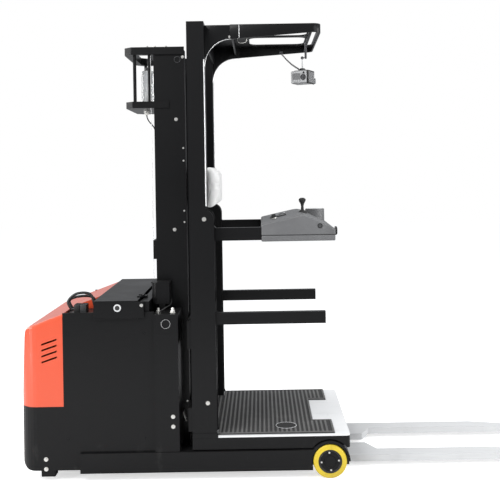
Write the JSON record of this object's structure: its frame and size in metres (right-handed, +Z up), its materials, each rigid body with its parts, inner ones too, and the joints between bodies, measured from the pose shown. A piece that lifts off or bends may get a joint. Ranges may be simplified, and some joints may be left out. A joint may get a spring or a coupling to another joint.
{
  "type": "order picker truck",
  "caption": "Battery order picker with outriggers, a two-stage mast and a lifting platform that carries posts, overhead guard, console, side gates and forks.",
  "frame": {"origin": "on the floor under the middle of the truck's length and width, the truck parked on its wheels with the platform and forks at the bottom", "axes": "+X towards the fork tips, +Y to the left of a driver who faces the forks, +Z up"},
  "size_m": [2.747, 0.902, 2.323],
  "materials": {
    "black_paint": "satin",
    "orange_paint": "satin",
    "light_paint": "satin",
    "bright_steel": "polished",
    "grey_plastic": "satin",
    "black_plastic": "matte",
    "pale_plastic": "satin",
    "clear_lens": "clear",
    "black_rubber": "matte",
    "yellow_tyre": "matte",
    "battery_case": "matte",
    "motor_body": "matte",
    "chain_steel": "oiled",
    "pad_cover": "satin"
  },
  "bodies": {
    "chassis": {"outrigger_left": "black_paint", "outrigger_right": "black_paint", "chassis_frame": "black_paint", "body_shell": "black_paint", "rear_hood": "orange_paint", "drive_motor": "motor_body", "battery": "battery_case", "hinge_beam": "black_paint", "battery_connector": "pale_plastic", "battery_cable_a": "black_rubber", "battery_cable_b": "black_rubber", "mast_column_left": "black_paint", "mast_column_right": "black_paint", "outer_mast": "black_paint", "beacon_cage": "black_paint", "beacon_base": "black_plastic", "beacon_lens": "clear_lens", "lift_barrel": "black_paint"},
    "load_wheel_left": {"load_tyre_left": "yellow_tyre", "load_hub_left": "black_paint"},
    "load_wheel_right": {"load_tyre_right": "yellow_tyre", "load_hub_right": "black_paint"},
    "drive_unit": {"steer_turntable": "black_paint"},
    "drive_wheel": {"drive_tyre": "black_rubber", "drive_hub": "black_paint"},
    "inner_mast": {"inner_mast": "black_paint", "lift_rod": "bright_steel", "lift_chain_left": "chain_steel", "lift_chain_right": "chain_steel"},
    "carriage": {"carriage": "black_paint", "post_left": "black_paint", "post_right": "black_paint", "fork_left": "light_paint", "fork_right": "light_paint", "overhead_guard": "black_paint", "lanyard_reel": "pale_plastic", "reel_hook": "bright_steel", "pad_bracket": "black_paint", "back_pad": "pad_cover", "platform_tray": "black_paint", "platform_deck": "light_paint", "floor_mat": "black_rubber"},
    "side_gate_left": {"side_gate_left": "black_paint"},
    "side_gate_right": {"side_gate_right": "black_paint"},
    "console": {"console_frame": "black_paint", "console_housing": "grey_plastic", "control_lever": "black_plastic", "steering_disc": "pale_plastic"},
    "battery_lid": {"battery_lid": "black_paint"}
  },
  "joints": [
    {"name": "load_wheel_left_spin", "type": "hinge", "parent": "chassis", "child": "load_wheel_left", "pos_m": [0.1995, 0.416, 0.085], "axis": [0, 1, 0], "continuous": true},
    {"name": "load_wheel_right_spin", "type": "hinge", "parent": "chassis", "child": "load_wheel_right", "pos_m": [0.1995, -0.416, 0.085], "axis": [0, 1, 0], "continuous": true},
    {"name": "drive_steer", "type": "hinge", "parent": "chassis", "child": "drive_unit", "pos_m": [-1.17, 0, 0.3], "axis": [0, 0, 1], "range_deg": [-90, 90]},
    {"name": "drive_spin", "type": "hinge", "parent": "drive_unit", "child": "drive_wheel", "pos_m": [-1.17, 0, 0.115], "axis": [0, 1, 0], "continuous": true},
    {"name": "inner_mast_lift", "type": "slide", "parent": "chassis", "child": "inner_mast", "axis": [0, 0, 1], "range_m": [0, 1.35]},
    {"name": "carriage_lift", "type": "slide", "parent": "inner_mast", "child": "carriage", "axis": [0, 0, 1], "range_m": [0, 1.35]},
    {"name": "side_gate_left_hinge", "type": "hinge", "parent": "carriage", "child": "side_gate_left", "pos_m": [-0.39, 0.402, 0.83], "axis": [0, -1, 0], "range_deg": [0, 90]},
    {"name": "side_gate_right_hinge", "type": "hinge", "parent": "carriage", "child": "side_gate_right", "pos_m": [-0.39, -0.402, 0.83], "axis": [0, -1, 0], "range_deg": [0, 90]},
    {"name": "console_hinge", "type": "hinge", "parent": "carriage", "child": "console", "pos_m": [-0.418, 0, 1.318], "axis": [0, -1, 0], "range_deg": [0, 70]},
    {"name": "battery_lid_hinge", "type": "hinge", "parent": "chassis", "child": "battery_lid", "pos_m": [-0.754, 0, 0.917], "axis": [0, 1, 0], "range_deg": [0, 90]}
  ],
  "couplings": [
    {"joint": "carriage_lift", "follows": "inner_mast_lift", "ratio": 1}
  ]
}
